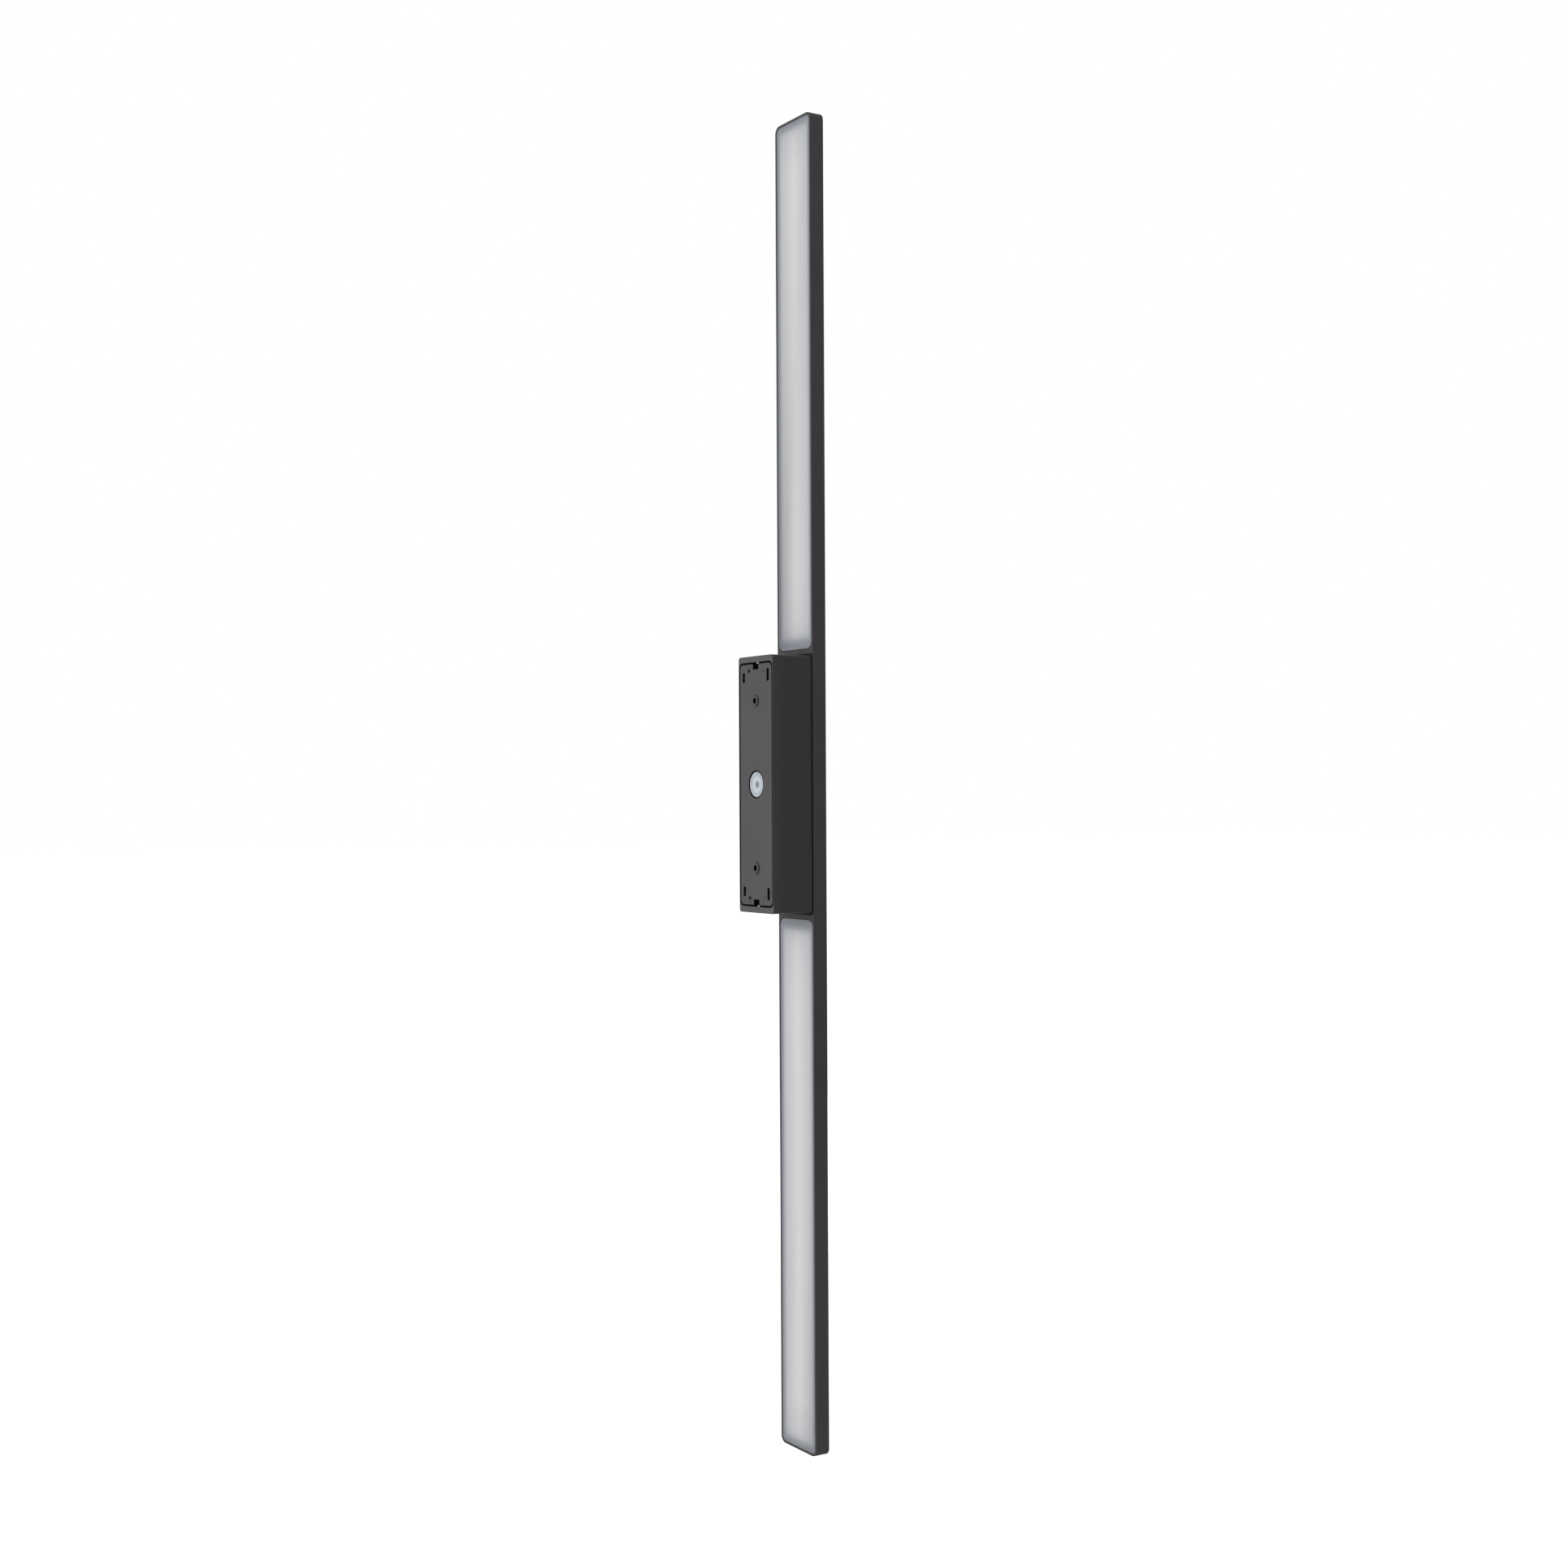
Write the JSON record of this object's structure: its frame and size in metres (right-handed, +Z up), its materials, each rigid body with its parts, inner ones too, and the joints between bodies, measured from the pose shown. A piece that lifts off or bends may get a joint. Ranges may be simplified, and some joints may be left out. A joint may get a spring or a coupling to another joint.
{
  "type": "wall light bar",
  "caption": "Slim vertical wall light: a long black bar with frosted lenses on both faces, carried off the wall by a box canopy on a screwed plate.",
  "frame": {"origin": "on the wall plane, at the middle of the wall plate", "axes": "+Z up along the bar, +Y into the wall, the front faces -Y, +X across the bar's width, to the right of someone facing the front"},
  "size_m": [0.0582, 0.0569, 1.2],
  "materials": {
    "black_coat": "satin black powder coat",
    "aluminium": "mill",
    "frosted_acrylic": "frosted",
    "circuit_board": "white solder mask",
    "black_rubber": "matt",
    "silicone": "translucent satin",
    "steel": "bright zinc",
    "white_plastic": "satin",
    "brass": "plain",
    "brown_insulation": "satin",
    "blue_insulation": "satin",
    "green_insulation": "satin",
    "red_insulation": "satin",
    "black_insulation": "satin"
  },
  "bodies": {
    "wall_plate": {"wall_plate": "black_coat", "cable_grommet": "silicone"},
    "luminaire": {"bar_frame": "black_coat", "spine_plate": "aluminium", "front_diffuser": "frosted_acrylic", "rear_diffuser_upper": "frosted_acrylic", "rear_diffuser_lower": "frosted_acrylic", "rear_led_board_upper": "circuit_board", "rear_led_board_lower": "circuit_board", "front_led_board_upper": "circuit_board", "front_led_board_lower": "circuit_board", "canopy_gasket": "black_rubber", "canopy_housing": "black_coat", "canopy_screw_upper_left": "steel", "canopy_screw_upper_right": "steel", "canopy_screw_lower_left": "steel", "canopy_screw_lower_right": "steel", "led_driver": "white_plastic", "driver_screw_upper": "steel", "driver_screw_lower": "steel", "terminal_block": "white_plastic", "terminal_block_screw": "steel", "earth_screw": "brass", "earth_ring": "brass", "live_lead": "brown_insulation", "neutral_lead": "blue_insulation", "earth_lead": "green_insulation", "output_lead_positive": "red_insulation", "output_lead_negative": "black_insulation", "link_lead_upper_positive": "red_insulation", "link_lead_upper_negative": "black_insulation", "link_lead_lower_positive": "red_insulation", "link_lead_lower_negative": "black_insulation"},
    "set_screw_top": {"set_screw_top": "steel"},
    "set_screw_bottom": {"set_screw_bottom": "steel"}
  },
  "joints": [
    {"name": "lift_off", "type": "slide", "parent": "wall_plate", "child": "luminaire", "axis": [0, -1, 0], "range_m": [0, 0.03]},
    {"name": "set_screw_top_slide", "type": "slide", "parent": "luminaire", "child": "set_screw_top", "axis": [0, 0, 1], "range_m": [-0.0045, 0.003]},
    {"name": "set_screw_bottom_slide", "type": "slide", "parent": "luminaire", "child": "set_screw_bottom", "axis": [0, 0, -1], "range_m": [-0.0045, 0.003]}
  ]
}
